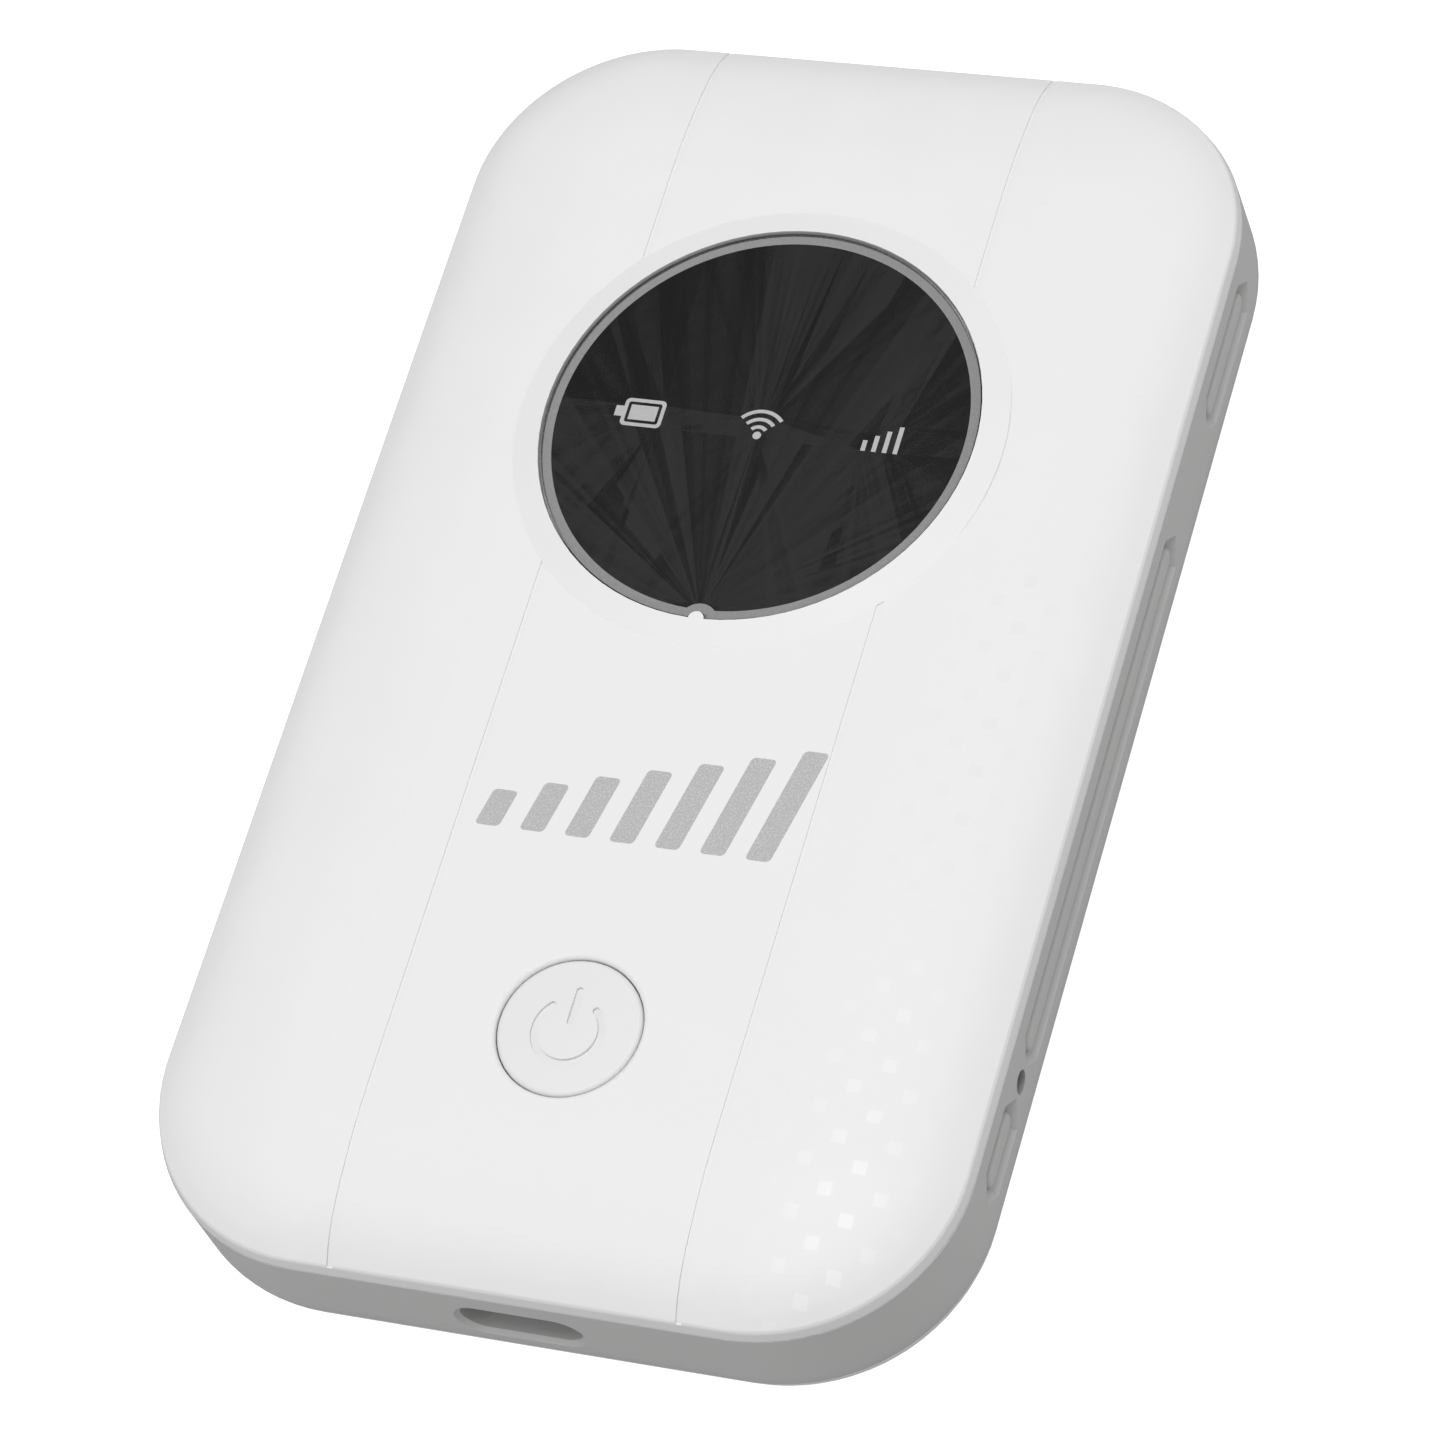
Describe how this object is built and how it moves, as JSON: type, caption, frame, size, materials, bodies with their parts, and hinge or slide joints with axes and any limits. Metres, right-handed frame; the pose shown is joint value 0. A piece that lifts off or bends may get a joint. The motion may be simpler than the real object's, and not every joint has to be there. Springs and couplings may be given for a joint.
{
  "type": "mobile hotspot",
  "caption": "Rounded pocket router lying on its back: pillow-shaped front, round status display, round power key, grip channels in the sides, port in the end, clip-off back.",
  "frame": {"origin": "centre of the back face, on the surface that the device lies on", "axes": "+Z out of the front face, +Y towards the display end, +X to the right seen from the front"},
  "size_m": [0.062, 0.1054, 0.016],
  "materials": {
    "white_shell": "satin moulded plastic, fine texture",
    "grey_shell": "satin moulded plastic",
    "button_white": "satin moulded plastic",
    "lens_clear": "clear polished acrylic",
    "print_black": "black ink under the lens",
    "print_grey": "silver-grey ink",
    "icon_white": "translucent pale ink",
    "adhesive": "foam tape",
    "white_inner": "white reflector plastic",
    "led": "clear resin with phosphor",
    "switch_black": "black plastic",
    "rubber_dark": "soft foam rubber",
    "steel": "bare stamped steel",
    "tin_plate": "tin-plated sheet",
    "gold": "gold-plated contact",
    "board_green": "solder-masked glass-fibre board",
    "chip_black": "moulded epoxy",
    "ceramic": "ceramic with tinned ends",
    "ferrite": "ferrite",
    "copper_flex": "copper film",
    "cell_foil": "aluminium pouch with film",
    "label_white": "plain film label",
    "thermal": "soft silicone pad"
  },
  "bodies": {
    "back": {"battery_cover": "white_shell"},
    "battery": {"battery_cell": "cell_foil", "battery_end_cap": "switch_black", "battery_pads": "gold", "battery_label": "label_white"},
    "power_key": {"power_button": "button_white", "power_plunger": "switch_black"},
    "reset_key": {"reset_plunger": "switch_black"},
    "housing": {"front_cover": "white_shell", "mid_frame": "grey_shell", "display_lens": "lens_clear", "display_print": "print_black", "display_border": "print_grey", "icon_print": "icon_white", "display_adhesive": "adhesive", "icon_diffuser": "white_inner", "light_guide": "white_inner", "status_leds": "led", "power_switch": "steel", "key_gasket": "rubber_dark", "main_pcb": "board_green", "modem_chip": "chip_black", "memory_chip": "chip_black", "radio_chip": "chip_black", "power_chip": "chip_black", "thermal_pad": "thermal", "baseband_shield": "tin_plate", "radio_shield": "tin_plate", "small_parts": "ceramic", "power_inductors": "ferrite", "reset_switch": "steel", "usb_shell": "steel", "usb_tongue": "switch_black", "sim_shell": "tin_plate", "sim_base": "switch_black", "sim_contacts": "gold", "battery_connector": "switch_black", "connector_blades": "gold", "main_antenna_carrier": "white_inner", "diversity_antenna_carrier": "white_inner", "wifi_antenna_carrier": "white_inner", "main_antenna": "copper_flex", "diversity_antenna": "copper_flex", "wifi_antenna": "copper_flex", "cover_screws": "steel"}
  },
  "joints": [
    {"name": "housing_lift", "type": "slide", "parent": "back", "child": "housing", "axis": [0, 0, 1], "range_m": [0, 0.024]},
    {"name": "battery_lift", "type": "slide", "parent": "back", "child": "battery", "axis": [0, 0, 1], "range_m": [0, 0.012]},
    {"name": "power_press", "type": "slide", "parent": "housing", "child": "power_key", "axis": [0, 0, -1], "range_m": [0, 0.0003], "stiffness_N_per_m": 5000},
    {"name": "reset_press", "type": "slide", "parent": "housing", "child": "reset_key", "axis": [-1, 0, 0], "range_m": [0, 0.00025], "stiffness_N_per_m": 6000}
  ],
  "couplings": [
    {"joint": "battery_lift", "follows": "housing_lift", "ratio": 0.5}
  ]
}
